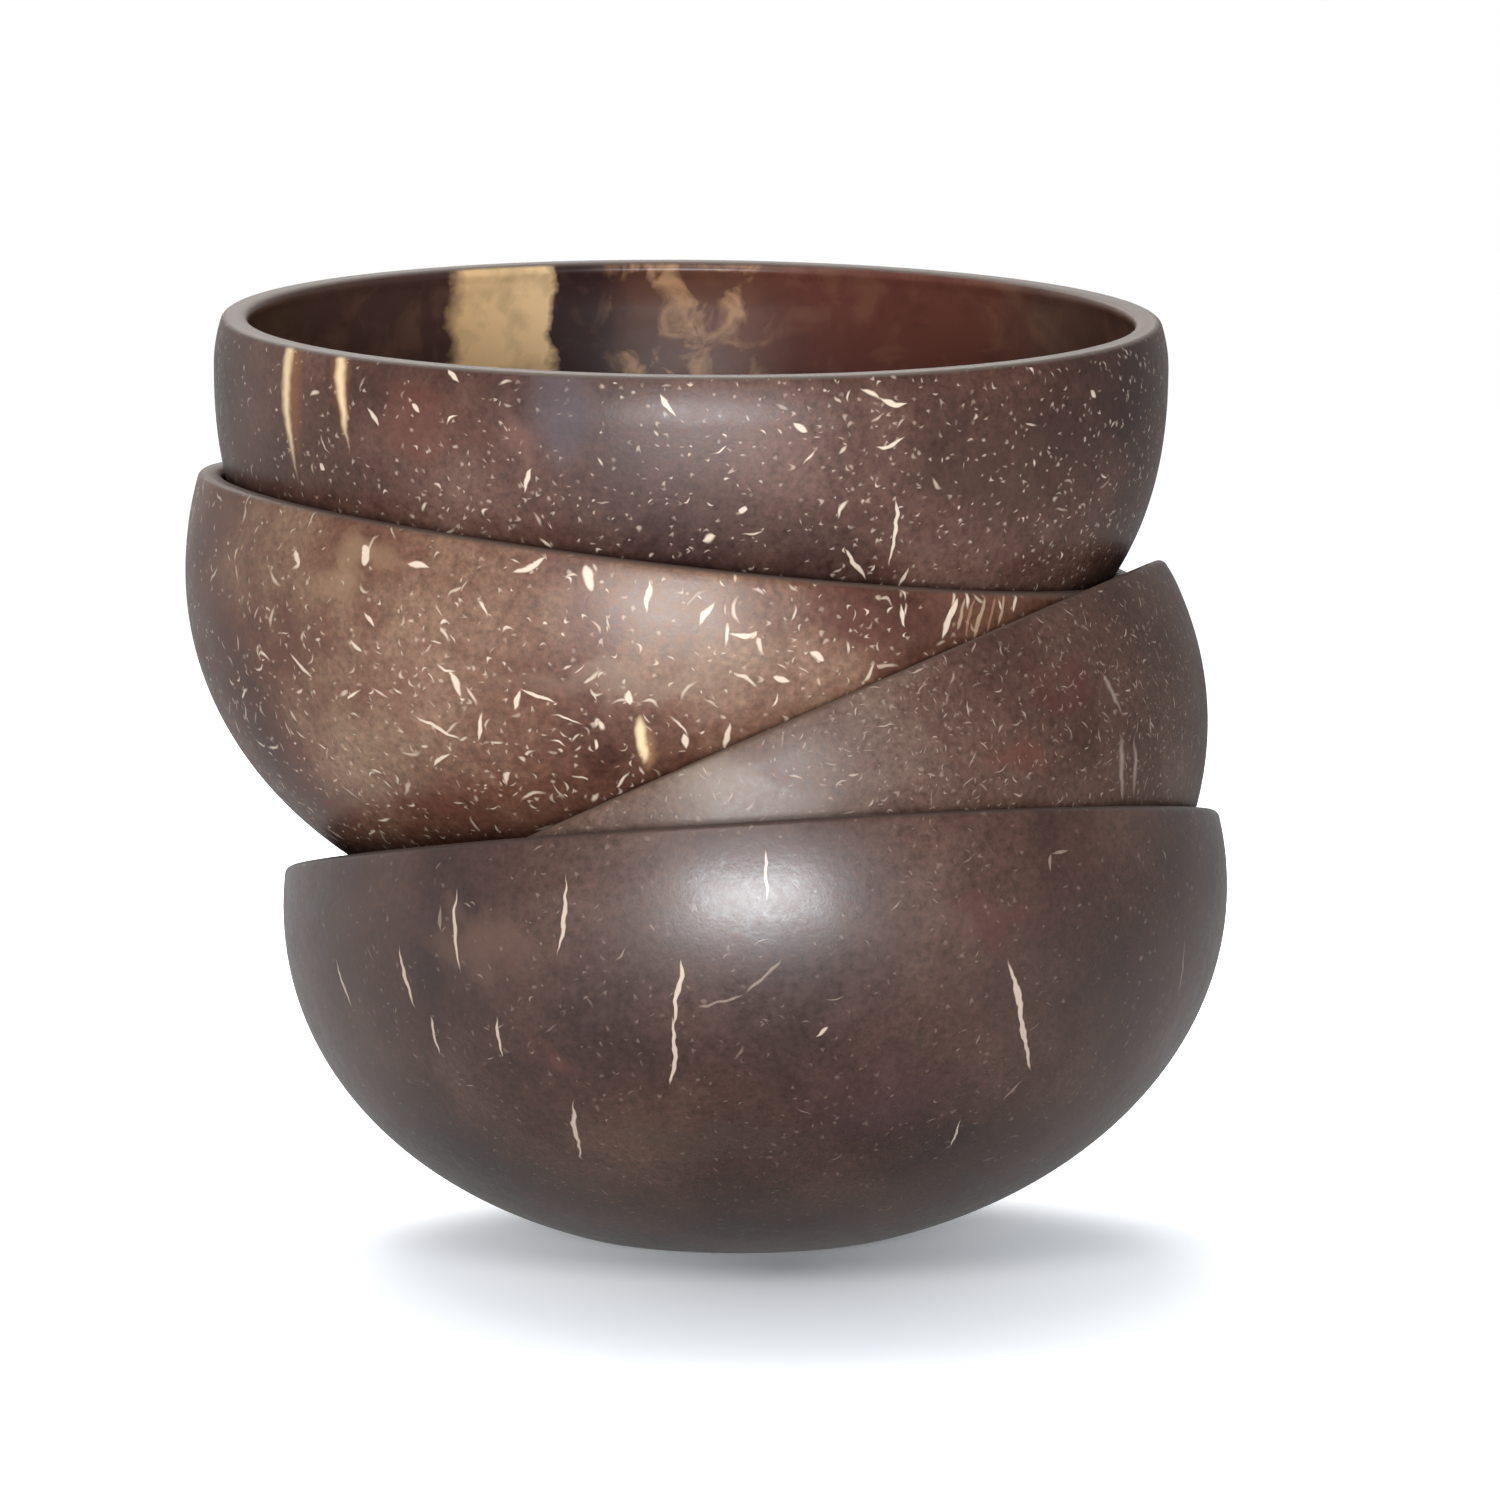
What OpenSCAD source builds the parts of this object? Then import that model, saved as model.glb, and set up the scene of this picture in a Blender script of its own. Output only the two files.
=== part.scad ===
// Four coconut shell bowls, nested loosely in a leaning stack.
// The origin is the middle of the flat that the bottom bowl stands on.
// X runs to the right, Y to the back and Z up.
// A bowl is half a coconut shell. It is measured from its widest section, which is a slightly long round,
// and it leans and tips as it lies in the bowl below. Its height follows from what it rests on.

/* [Shell] */
// Thickness of the floor before its underside is ground flat
floor_wall = 5.5; // [5:0.25:7]
// Radius of the rounded edges of a rim
rim_round = 1.2; // [0.6:0.1:1.4]
// Depth ground off the base of each bowl above the bottom one
base_cut = 2; // [1:0.25:3]
// Room left between a bowl and the one that it rests in
seat_gap = 0.4; // [0.3:0.1:1]

/* [Bottom bowl] */
// Thickness of the wall
bottom_wall = 3.5; // [3:0.1:4.5]
// Width from side to side
bottom_width = 135; // [130:0.5:140]
// Depth from front to back
bottom_depth = 144; // [141:0.5:148]
// Height of the shell from its pole to its widest section
bottom_below = 51.5; // [50:0.5:56]
// Height of the rim above the widest section
bottom_above = 8; // [5:0.5:12]
// How far the rim draws in from the widest section
bottom_draw = 0.75; // [0.25:0.25:2.5]
// How full the curve of the shell is: 2 is an ellipse, and more is squarer
bottom_fullness = 2.05; // [1.95:0.05:2.3]
// Lean to the right in degrees
bottom_lean_angle = -3.5; // [-6:0.5:3]
// Tip towards the front in degrees
bottom_tip_angle = -6.5; // [-8:0.5:3]
// Height of the middle of the widest section above the table
bottom_stand = 49.3; // [48:0.1:50]

/* [Second bowl] */
// Thickness of the wall
second_wall = 3.5; // [3:0.1:4.5]
// Width from side to side
second_width = 133.5; // [129:0.5:134]
// Depth from front to back
second_depth = 129; // [126:0.5:131]
// Height of the shell from its pole to its widest section
second_below = 52.5; // [49:0.5:56]
// Height of the rim above the widest section
second_above = 4.5; // [4:0.5:8]
// How far the rim draws in from the widest section
second_draw = 0.5; // [0.25:0.25:1.5]
// How full the curve of the shell is: 2 is an ellipse, and more is squarer
second_fullness = 2.1; // [1.95:0.05:2.3]
// Lean to the right in degrees
second_lean_angle = -24; // [-26:0.5:-20]
// Tip towards the front in degrees
second_tip_angle = -4; // [-6:0.5:1]
// How far to the right its middle lies from the middle of the bowl below
second_right = -0.6; // [-2:0.1:1]
// How far to the back its middle lies from the middle of the bowl below
second_back = 0.5; // [-2:0.1:2]

/* [Third bowl] */
// Thickness of the wall
third_wall = 3.7; // [3:0.1:4.5]
// Width from side to side
third_width = 136.5; // [131:0.5:137]
// Depth from front to back
third_depth = 130; // [126:0.5:131]
// Height of the shell from its pole to its widest section
third_below = 52; // [50:0.5:56]
// Height of the rim above the widest section
third_above = 8.5; // [6:0.5:12]
// How far the rim draws in from the widest section
third_draw = 0.75; // [0.25:0.25:2]
// How full the curve of the shell is: 2 is an ellipse, and more is squarer
third_fullness = 2.1; // [1.95:0.05:2.3]
// Lean to the right in degrees
third_lean_angle = 6.8; // [4:0.1:10]
// Tip towards the front in degrees
third_tip_angle = 2.6; // [-2:0.1:4]
// How far to the right its middle lies from the middle of the bowl below
third_right = -12.6; // [-15:0.1:-12.4]
// How far to the back its middle lies from the middle of the bowl below
third_back = 1.7; // [-2:0.1:4]

/* [Top bowl] */
// Thickness of the wall
top_wall = 4; // [3:0.1:4.5]
// Width from side to side
top_width = 136; // [131:0.5:138]
// Depth from front to back
top_depth = 122.5; // [118:0.5:124]
// Height of the shell from its pole to its widest section
top_below = 52.5; // [48:0.5:56]
// Height of the rim above the widest section
top_above = 7; // [5:0.5:10]
// How far the rim draws in from the widest section
top_draw = 1.25; // [0.25:0.25:2]
// How full the curve of the shell is: 2 is an ellipse, and more is squarer
top_fullness = 2.35; // [1.95:0.05:2.4]
// Lean to the right in degrees
top_lean_angle = 0.5; // [-2:0.1:3]
// Tip towards the front in degrees
top_tip_angle = 7; // [3:0.5:9]
// How far to the right its middle lies from the middle of the bowl below
top_right = 4.1; // [2:0.1:7]
// How far to the back its middle lies from the middle of the bowl below
top_back = -1.8; // [-4:0.1:2]

/* [Hidden] */
// Facets of the curves: along the shell's curve, along its drawn-in rim, and round one rounded edge
curve_steps = 18;
draw_steps = 3;
edge_steps = 3;
// How closely a bowl is tried against the one below: places round it, levels up it, halvings of a height,
// and the steps that it comes down by, halved until they are this close
try_round = 96;
try_levels = 14;
try_halvings = 16;
try_step = 2;
try_close = 0.001;

// One bowl's shape and pose, in the order that the functions below read it
BOTTOM = [bottom_width / 2, bottom_depth / 2, bottom_wall, bottom_below, bottom_above, bottom_draw,
    bottom_fullness, bottom_lean_angle, bottom_tip_angle];
SECOND = [second_width / 2, second_depth / 2, second_wall, second_below, second_above, second_draw,
    second_fullness, second_lean_angle, second_tip_angle];
THIRD = [third_width / 2, third_depth / 2, third_wall, third_below, third_above, third_draw,
    third_fullness, third_lean_angle, third_tip_angle];
TOP = [top_width / 2, top_depth / 2, top_wall, top_below, top_above, top_draw,
    top_fullness, top_lean_angle, top_tip_angle];

function round_half(b) = min(b[0], b[1]);
function stretch(b) = [b[0] - round_half(b), b[1] - round_half(b)];
function wall(b) = b[2];
function below(b) = b[3];
function above(b) = b[4];
function draw(b) = b[5];
function fullness(b) = b[6];
function lean(b) = b[7];
function tip(b) = b[8];

// Half width of the round part at height z over the widest section, on a face lying t inside the outer one
function drawn(b, z, t) = round_half(b) - t - draw(b) * pow(z / above(b), 2);
function curved(b, z, t, deep) =
    (round_half(b) - t) * pow(max(0, 1 - pow(min(1, -z / deep), fullness(b))), 1 / fullness(b));
function face(b, z, t, deep) = z > 0 ? drawn(b, z, t) : curved(b, z, t, deep);
function outer_half(b, z, grown) = face(b, z, -grown, below(b) + grown);
function inner_half(b, z, shrunk) = face(b, z, wall(b) + shrunk, below(b) - floor_wall - shrunk);

// The same curves as points, from the pole to the widest section, and on to where the rim's edge begins
function curve_points(b, t, deep) = [for (i = [0:curve_steps]) let (u = 90 * (1 - i / curve_steps))
    [(round_half(b) - t) * pow(cos(u), 2 / fullness(b)), -deep * pow(sin(u), 2 / fullness(b))]];
function draw_points(b, t, end) = [for (i = [1:draw_steps]) let (z = end * i / draw_steps)
    [drawn(b, z, t), z]];

// The rim's two rounded edges run round these places in the wall
function slope(b) = atan(2 * draw(b) / above(b));
function edge_level(b) = above(b) - rim_round;
function outer_edge(b) = outer_half(b, edge_level(b), 0) - rim_round / cos(slope(b));
function inner_edge(b) = inner_half(b, edge_level(b), 0) + rim_round / cos(slope(b));
function edge_points(b, r, from, to) = [for (i = [0:edge_steps])
    let (u = from + (to - from) * i / edge_steps)
    [r + rim_round * cos(u), edge_level(b) + rim_round * sin(u)]];

// Outline of the wall: the base ground flat, up the outer face, over the rim and down the inner face
function backward(points) = [for (i = [len(points) - 1:-1:0]) points[i]];
function wall_points(b, flat) = concat(
    [[0, -flat], [outer_half(b, -flat, 0), -flat]],
    [for (p = curve_points(b, 0, below(b))) if (p[1] > -flat) p],
    draw_points(b, 0, edge_level(b) - rim_round),
    edge_points(b, outer_edge(b), slope(b), 90),
    edge_points(b, inner_edge(b), 90, 180 + slope(b)),
    backward(draw_points(b, wall(b), edge_level(b) - rim_round)),
    backward(curve_points(b, wall(b), below(b) - floor_wall)));

// From a bowl's own frame to the stack's, and back
function about_x(p, a) = [p[0], cos(a) * p[1] - sin(a) * p[2], sin(a) * p[1] + cos(a) * p[2]];
function about_y(p, a) = [cos(a) * p[0] + sin(a) * p[2], p[1], cos(a) * p[2] - sin(a) * p[0]];
function turned(b, p) = about_y(about_x(p, tip(b)), lean(b));
function unturned(b, p) = about_x(about_y(p, -lean(b)), -tip(b));

// How far a point lies from a bowl's middle line, its straight stretch taken out, and a place round a bowl
function off_axis(b, p) =
    norm([max(0, abs(p[0]) - stretch(b)[0]), max(0, abs(p[1]) - stretch(b)[1])]);
function ring_point(b, r, z, a) =
    [r * cos(a) + stretch(b)[0] * sign(cos(a)), r * sin(a) + stretch(b)[1] * sign(sin(a)), z];

// The lift at which a place in the upper bowl's wall, coming down, first has no room inside the lower bowl.
// The places tried lie one rounded edge's radius inside the outer face, so the room left is that much more.
try_room = seat_gap + rim_round;
function has_room(b, p) = p[2] > edge_level(b) || off_axis(b, p) < inner_half(b, p[2], try_room);
function lowest(b, p, up, free, held, n) = n == 0 ? free : let (t = (free + held) / 2)
    has_room(b, p + t * up) ? lowest(b, p, up, t, held, n - 1) : lowest(b, p, up, free, t, n - 1);
function wall_lift(b, p, up) = let (t = (edge_level(b) - p[2]) / up[2])
    off_axis(b, p + t * up) > inner_half(b, edge_level(b), try_room) ? -2 * below(b)
    : lowest(b, p, up, t, t - 2 * below(b), try_halvings);

// The lift at which the upper bowl's outer face, coming down by steps, first meets a place in the lower rim
function meets(b, p) = p[2] > -below(b) - try_room && p[2] < above(b) + try_room
    && off_axis(b, p) < outer_half(b, min(p[2], above(b)), try_room);
function first_meeting(b, p, up, t, step) = step < try_close ? t
    : meets(b, p - (t - step) * up) ? first_meeting(b, p, up, t, step / 2)
    : p[2] - (t - step) * up[2] > above(b) + try_room ? -2 * below(b)
    : first_meeting(b, p, up, t - step, step);
function rim_lift(b, p, up) = first_meeting(b, p, up, (p[2] + below(b) + try_room) / up[2], try_step);

// Height of a bowl's middle over the middle of the one below, when it lies this far right and back of it
function seat(lower, upper, right, back) = let (
    up_lower = unturned(lower, [0, 0, 1]),
    up_upper = unturned(upper, [0, 0, 1]),
    beside = [right, back, 0],
    tried = edge_level(upper) + below(upper) - base_cut,
    levels = [for (j = [0:try_levels]) edge_level(upper) - tried * j / try_levels])
    max([for (i = [0:try_round - 1]) let (a = 360 * (i + 1 / 2) / try_round) max(
        max([for (r = [inner_edge(lower), outer_edge(lower)])
            let (p = turned(lower, ring_point(lower, r, edge_level(lower), a)))
            rim_lift(upper, unturned(upper, p - beside), up_upper)]),
        max([for (z = levels)
            let (p = turned(upper, ring_point(upper, outer_half(upper, z, -rim_round), z, a)))
            wall_lift(lower, unturned(lower, p + beside), up_lower)]))]);

// Where the bottom bowl's lowest point lies from its middle: its ground flat is centred there
function foot(b) = let (
    up = unturned(b, [0, 0, 1]),
    h = [b[0] * up[0], b[1] * up[1], below(b) * up[2]])
    -turned(b, [b[0] * h[0], b[1] * h[1], below(b) * h[2]] / norm(h));

bottom_at = [-foot(BOTTOM)[0], -foot(BOTTOM)[1], bottom_stand];
second_at = bottom_at + [second_right, second_back, seat(BOTTOM, SECOND, second_right, second_back)];
third_at = second_at + [third_right, third_back, seat(SECOND, THIRD, third_right, third_back)];
top_at = third_at + [top_right, top_back, seat(THIRD, TOP, top_right, top_back)];

// A shell turned from its wall's outline: two half rounds, set apart by a straight stretch the long way
module shell(b, flat) {
    apart = max(stretch(b));
    outline = wall_points(b, flat);
    rotate([0, 0, b[0] > b[1] ? 90 : 0]) {
        for (way = [0, 180]) rotate([0, 0, way]) translate([0, apart, 0])
            rotate_extrude(angle = 180) polygon(outline);
        if (apart > 0) rotate([90, 0, 0]) linear_extrude(height = 2 * apart, center = true)
            for (side = [0, 1]) mirror([side, 0]) polygon(outline);
    }
}

module placed(b, at) {
    translate(at) rotate([0, lean(b), 0]) rotate([tip(b), 0, 0]) children();
}

// Dark shell with few fibres, its underside ground level with the table
module bottom_bowl() {
    span = bottom_width + bottom_depth;
    color("#3d2a27") difference() {
        placed(BOTTOM, bottom_at) shell(BOTTOM, bottom_below);
        translate([0, 0, -span / 2]) cube(span, center = true);
    }
}

// Grey-brown shell that leans into the bottom bowl
module second_bowl() color("#5b4840") placed(SECOND, second_at) shell(SECOND, second_below - base_cut);

// Warm brown shell with many pale flecks
module third_bowl() color("#5e4335") placed(THIRD, third_at) shell(THIRD, third_below - base_cut);

// Red-brown shell, the one whose inside shows
module top_bowl() color("#56382f") placed(TOP, top_at) shell(TOP, top_below - base_cut);

bottom_bowl();
second_bowl();
third_bowl();
top_bowl();
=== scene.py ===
"""A nested stack of four oiled coconut shell bowls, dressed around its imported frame.

Each bowl is one closed shell: sanded outside, a cut and rounded rim, scraped inside and a base ground
flat. It is half a coconut, so a section across it is an oval and a section along it a full curve.
"""

import math

import bpy
import numpy as np
from bpy.props import FloatProperty, FloatVectorProperty, PointerProperty
from mathutils import Euler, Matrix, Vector


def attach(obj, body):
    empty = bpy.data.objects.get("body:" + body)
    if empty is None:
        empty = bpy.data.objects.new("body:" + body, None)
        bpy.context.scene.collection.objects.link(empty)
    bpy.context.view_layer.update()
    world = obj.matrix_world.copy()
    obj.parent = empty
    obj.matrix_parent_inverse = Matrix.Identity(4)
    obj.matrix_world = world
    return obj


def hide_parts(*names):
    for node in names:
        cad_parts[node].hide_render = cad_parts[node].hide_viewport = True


bl_info = {
    "name": "Coconut shell bowls",
    "version": (1, 0, 0),
    "blender": (4, 5, 0),
    "location": "3D View > Sidebar > Bowls",
    "description": "A leaning stack of sanded and oiled coconut shell bowls",
    "category": "Add Mesh",
}

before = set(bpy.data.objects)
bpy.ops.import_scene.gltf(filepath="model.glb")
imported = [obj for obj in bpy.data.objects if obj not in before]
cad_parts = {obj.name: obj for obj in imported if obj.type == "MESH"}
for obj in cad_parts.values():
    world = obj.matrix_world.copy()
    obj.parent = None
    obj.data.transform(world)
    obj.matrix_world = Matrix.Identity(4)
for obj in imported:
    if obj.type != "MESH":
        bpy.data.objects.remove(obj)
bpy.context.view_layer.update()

MM = 0.001
BOWLS = ("bottom", "second", "third", "top")
PICTURE_PIXELS = 1500
PIXELS_PER_MM = 7
SENSOR_MM = 36

# How finely a shell is drawn: places round it, and steps along each part of its wall
ROUND = 256
FLAT_STEPS = 4
BEVEL_STEPS = 4
CURVE_STEPS = 44
DRAW_STEPS = 8
EDGE_STEPS = 6
RIM_STEPS = 3
HALVINGS = 30


# Settings

def length(name, description, millimetres, top=0.3):
    return FloatProperty(name=name, description=description, default=millimetres * MM,
                         min=0, max=top, unit="LENGTH")


def angle(name, description, degrees):
    return FloatProperty(name=name, description=description, default=math.radians(degrees),
                         min=-math.pi, max=math.pi, subtype="ANGLE")


def share(name, description, value, top=1.0):
    return FloatProperty(name=name, description=description, default=value, min=0, max=top)


def linear(hex_colour):
    """An sRGB hex value as the linear colour that shaders take."""
    parts = [int(hex_colour[i:i + 2], 16) / 255 for i in (1, 3, 5)]
    return [p / 12.92 if p <= 0.04045 else ((p + 0.055) / 1.055) ** 2.4 for p in parts]


def colour(name, description, hex_colour):
    return FloatVectorProperty(name=name, description=description, default=linear(hex_colour),
                               min=0, max=1, subtype="COLOR")


def bowl_settings(label, wall, below, above, draw, fullness, lean, tip, deep, warm, light, fleck, rim,
                  fleck_gap, fleck_length, fleck_width, fleck_share, speck_share, fleck_strength, roughness,
                  gloss, polish):
    """One bowl's sizes, as the frame has them, and the look of its shell."""
    return type(label + "BowlSettings", (bpy.types.PropertyGroup,), {"__annotations__": {
        "wall": length("Wall", "Thickness of the shell's wall", wall),
        "below": length("Below", "From the pole to the widest section", below),
        "above": length("Above", "From the widest section to the rim", above),
        "draw": length("Draw", "How far the rim draws in", draw),
        "fullness": share("Fullness", "2 is an ellipse, and more is squarer", fullness, top=4),
        "lean": angle("Lean", "Lean to the right", lean),
        "tip": angle("Tip", "Tip towards the front", tip),
        "deep": colour("Dark tone", "The shell's darkest patches", deep),
        "warm": colour("Warm tone", "The shell between its patches", warm),
        "light": colour("Light tone", "The shell's palest patches", light),
        "fleck": colour("Fleck", "Cut fibres that show as flecks", fleck),
        "rim": colour("Rim", "The cut edge of the shell", rim),
        "fleck_gap": length("Fleck gap", "Usual distance between flecks", fleck_gap),
        "fleck_length": length("Fleck length", "Length of the longest flecks", fleck_length),
        "fleck_width": length("Fleck width", "Width of the widest flecks", fleck_width),
        "fleck_share": share("Fleck share", "Share of the flecks' places that hold one", fleck_share),
        "speck_share": share("Speck share", "Share of the specks' places that hold one", speck_share),
        "fleck_strength": share("Fleck strength", "How clearly the palest flecks show", fleck_strength),
        "roughness": share("Roughness", "Roughness of the sanded shell", roughness),
        "gloss": share("Gloss", "Specular level of the sanded shell", gloss),
        "polish": share("Polish", "How much of an oil film lies on the shell", polish),
    }})


BottomBowlSettings = bowl_settings(
    "Bottom", wall=3.5, below=51.5, above=8, draw=0.75, fullness=2.05, lean=-3.5, tip=-6.5,
    deep="#2b1612", warm="#3f261d", light="#50372b", fleck="#a08a78", rim="#34261f", fleck_gap=4.2,
    fleck_length=2.4, fleck_width=0.4, fleck_share=0.4, speck_share=0.5, fleck_strength=0.5,
    roughness=0.46, gloss=0.62, polish=0.45)
SecondBowlSettings = bowl_settings(
    "Second", wall=3.5, below=52.5, above=4.5, draw=0.5, fullness=2.1, lean=-24, tip=-4,
    deep="#3e2820", warm="#513a30", light="#645044", fleck="#bfaa99", rim="#5a473c", fleck_gap=2.3,
    fleck_length=2.4, fleck_width=0.36, fleck_share=0.75, speck_share=0.7, fleck_strength=0.5,
    roughness=0.46, gloss=0.34, polish=0.06)
ThirdBowlSettings = bowl_settings(
    "Third", wall=3.7, below=52, above=8.5, draw=0.75, fullness=2.1, lean=6.8, tip=2.6,
    deep="#3f241b", warm="#5c3c2e", light="#7b604c", fleck="#d2bda7", rim="#57443a", fleck_gap=3.9,
    fleck_length=4.4, fleck_width=0.7, fleck_share=0.72, speck_share=0.75, fleck_strength=0.95,
    roughness=0.43, gloss=0.38, polish=0.08)
TopBowlSettings = bowl_settings(
    "Top", wall=4, below=52.5, above=7, draw=1.25, fullness=2.35, lean=0.5, tip=7,
    deep="#311d19", warm="#4b3229", light="#5f453b", fleck="#cfb9a5", rim="#5d5048", fleck_gap=4.1,
    fleck_length=3.0, fleck_width=0.65, fleck_share=0.42, speck_share=1.0, fleck_strength=0.9,
    roughness=0.44, gloss=0.32, polish=0.1)


class ShellSettings(bpy.types.PropertyGroup):
    """Sizes that all four shells share."""
    floor_wall: length("Floor", "Thickness of the floor before its base is ground", 5.5)
    rim_round: length("Rim round", "Radius of the rim's rounded edges", 1.2)
    base_cut: length("Base cut", "Depth ground off each base above the bottom bowl's", 2)
    base_round: length("Base round", "Width of the softened edge of a base", 1.6)
    unevenness: length("Unevenness", "How far sanding leaves a shell out of true", 0.18)


class StageSettings(bpy.types.PropertyGroup):
    """The floor, the lamps and the camera."""
    floor: colour("Floor", "Colour of the floor", "#eef0f4")
    floor_width: length("Floor width", "Width of the floor", 8000, top=20)
    target: FloatVectorProperty(name="Target", description="Where the camera looks", unit="LENGTH",
                                default=(1.44 * MM, -4.96 * MM, 70 * MM))
    distance: length("Distance", "From the camera to its target", 1200, top=5)
    elevation: angle("Elevation", "Height of the camera over the horizon", 4)


# Shells

class Shell:
    """The outline of one bowl in its own frame: its widest section lies at height zero, Z up."""

    def __init__(self, name, sizes, shared):
        self.sizes, self.shared = sizes, shared
        self.turn = Euler((sizes.tip, sizes.lean, 0)).to_matrix()
        turned = np.array([v.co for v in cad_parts[name].data.vertices]) @ np.array(self.turn)
        low, high = turned.min(0), turned.max(0)
        middle = (low + high) / 2
        half = (high - low) / 2
        self.place = self.turn @ Vector((middle[0], middle[1], high[2] - sizes.above))
        self.round_half = min(half[:2])
        self.stretch = half[:2] - self.round_half
        self.theta = np.arange(ROUND) * math.tau / ROUND
        self.edge_level = sizes.above - shared.rim_round
        self.slope = math.atan(2 * sizes.draw / sizes.above)

    def ring(self, r, z):
        """One closed ring: an oval whose round half is r at height z, both numbers or one for each place."""
        r, z = np.broadcast_to(r, ROUND), np.broadcast_to(z, ROUND)
        apart = 1 - (1 - np.clip(r / self.round_half, 0, 1)) ** 4
        x = (r + self.stretch[0] * apart) * np.cos(self.theta)
        y = (r + self.stretch[1] * apart) * np.sin(self.theta)
        return np.stack([x, y, z], 1)

    def uneven(self, z, seed):
        """How far a shell lies out of true at each place, from 0 to 1: faint ridges and slow waves."""
        rise = z / self.sizes.below
        waves = (0.5 * np.cos(3 * self.theta + 1.1 * rise + seed)
                 + 0.3 * np.cos(2 * self.theta + 2 * seed - rise)
                 + 0.2 * np.cos(5 * self.theta - 4 * rise + 3 * seed))
        return (1 + waves) / 2

    def curve(self, u, inset, deep, seed, way):
        """A ring under the widest section: u runs from a right angle at the pole to 0 at that section."""
        u = np.broadcast_to(u, ROUND)
        r = (self.round_half - inset) * np.cos(u) ** (2 / self.sizes.fullness)
        z = -deep * np.sin(u) ** (2 / self.sizes.fullness)
        fade = np.cos(u) ** 0.5
        return self.ring(r + way * fade * self.shared.unevenness * self.uneven(z, seed), z)

    def drawn(self, z, inset, seed, way):
        """A ring over the widest section, where the wall draws in towards the rim."""
        r = self.round_half - inset - self.sizes.draw * (z / self.sizes.above) ** 2
        return self.ring(r + way * self.shared.unevenness * self.uneven(z, seed), z)

    def edge(self, middle, u, seed, way):
        """A ring on one of the rim's rounded edges, whose arc has its middle at that radius."""
        r = middle + self.shared.rim_round * math.cos(u)
        z = self.edge_level + self.shared.rim_round * math.sin(u)
        return self.ring(r + way * self.shared.unevenness * self.uneven(z, seed), z)

    def base_line(self, up, lift, seed):
        """The u at which each meridian of the outer face meets the plane of the base."""
        low, high = np.zeros(ROUND), np.full(ROUND, math.pi / 2)
        for _ in range(HALVINGS):
            u = (low + high) / 2
            over = self.curve(u, 0, self.sizes.below, seed, -1) @ up + lift > 0
            low, high = np.where(over, u, low), np.where(over, high, u)
        return low

    def rings(self, up, lift):
        """All rings from the middle of the base, up the outside, over the rim and down the inside."""
        sizes, shared = self.sizes, self.shared
        out, inside = 1.0, 2.3
        u_base = self.base_line(up, lift, out)
        corner = self.curve(u_base, 0, sizes.below, out, -1)
        centre = corner.mean(0)
        spread = np.linalg.norm(corner - centre, axis=1).mean()
        u_wall = u_base - shared.base_round / sizes.below
        wall_start = self.curve(u_wall, 0, sizes.below, out, -1)
        flat_end = centre + (corner - centre) * (1 - shared.base_round / spread)
        rings = [centre + (flat_end - centre) * i / FLAT_STEPS for i in range(1, FLAT_STEPS)]
        for i in range(BEVEL_STEPS):
            t = i / BEVEL_STEPS
            rings.append((1 - t) ** 2 * flat_end + 2 * t * (1 - t) * corner + t ** 2 * wall_start)
        for i in range(CURVE_STEPS):
            rings.append(self.curve(u_wall * (1 - i / CURVE_STEPS), 0, sizes.below, out, -1))
        tall = self.edge_level + shared.rim_round * math.sin(self.slope)
        for i in range(DRAW_STEPS):
            rings.append(self.drawn(tall * i / DRAW_STEPS, 0, out, -1))
        back = shared.rim_round * math.cos(self.slope)
        draw_in = sizes.draw * (tall / sizes.above) ** 2
        outer_edge = self.round_half - draw_in - back
        inner_edge = self.round_half - sizes.wall - draw_in + back
        for i in range(EDGE_STEPS + 1):
            u = self.slope + (math.pi / 2 - self.slope) * i / EDGE_STEPS
            rings.append(self.edge(outer_edge, u, out, -1))
        outer_rings = len(rings) + RIM_STEPS // 2
        first, last = rings[-1], self.edge(inner_edge, math.pi / 2, inside, 1)
        rings += [first + (last - first) * i / RIM_STEPS for i in range(1, RIM_STEPS)]
        for i in range(EDGE_STEPS + 1):
            u = math.pi / 2 + (math.pi / 2 + self.slope) * i / EDGE_STEPS
            rings.append(self.edge(inner_edge, u, inside, 1))
        low = self.edge_level - shared.rim_round * math.sin(self.slope)
        for i in range(1, DRAW_STEPS):
            rings.append(self.drawn(low * (1 - i / DRAW_STEPS), sizes.wall, inside, 1))
        deep = sizes.below - shared.floor_wall
        for i in range(CURVE_STEPS):
            rings.append(self.curve(math.pi / 2 * i / CURVE_STEPS, sizes.wall, deep, inside, 1))
        return centre, rings, np.array([0, 0, -deep]), outer_rings

    def mesh(self, name, up, lift):
        """The closed mesh. Its faces take slot 0 outside and slot 1 inside."""
        centre, rings, pole, outer_rings = self.rings(up, lift)
        places = np.concatenate([centre[None], *rings, pole[None]]) @ np.array(self.turn).T
        here = np.arange(ROUND)
        beside = (here + 1) % ROUND
        faces = [(0, 1 + b, 1 + a) for a, b in zip(here, beside)]
        slots = [0] * ROUND
        for i in range(len(rings) - 1):
            a, b = 1 + i * ROUND, 1 + (i + 1) * ROUND
            faces += list(zip(a + here, a + beside, b + beside, b + here))
            slots += [0 if i + 1 < outer_rings else 1] * ROUND
        a, last = 1 + (len(rings) - 1) * ROUND, len(places) - 1
        faces += [(a + p, a + q, last) for p, q in zip(here, beside)]
        slots += [1] * ROUND
        mesh = bpy.data.meshes.new(name)
        mesh.from_pydata(places.tolist(), [], [tuple(int(v) for v in f) for f in faces])
        mesh.polygons.foreach_set("material_index", slots)
        mesh.polygons.foreach_set("use_smooth", [True] * len(faces))
        mesh.validate()
        return mesh


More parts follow.
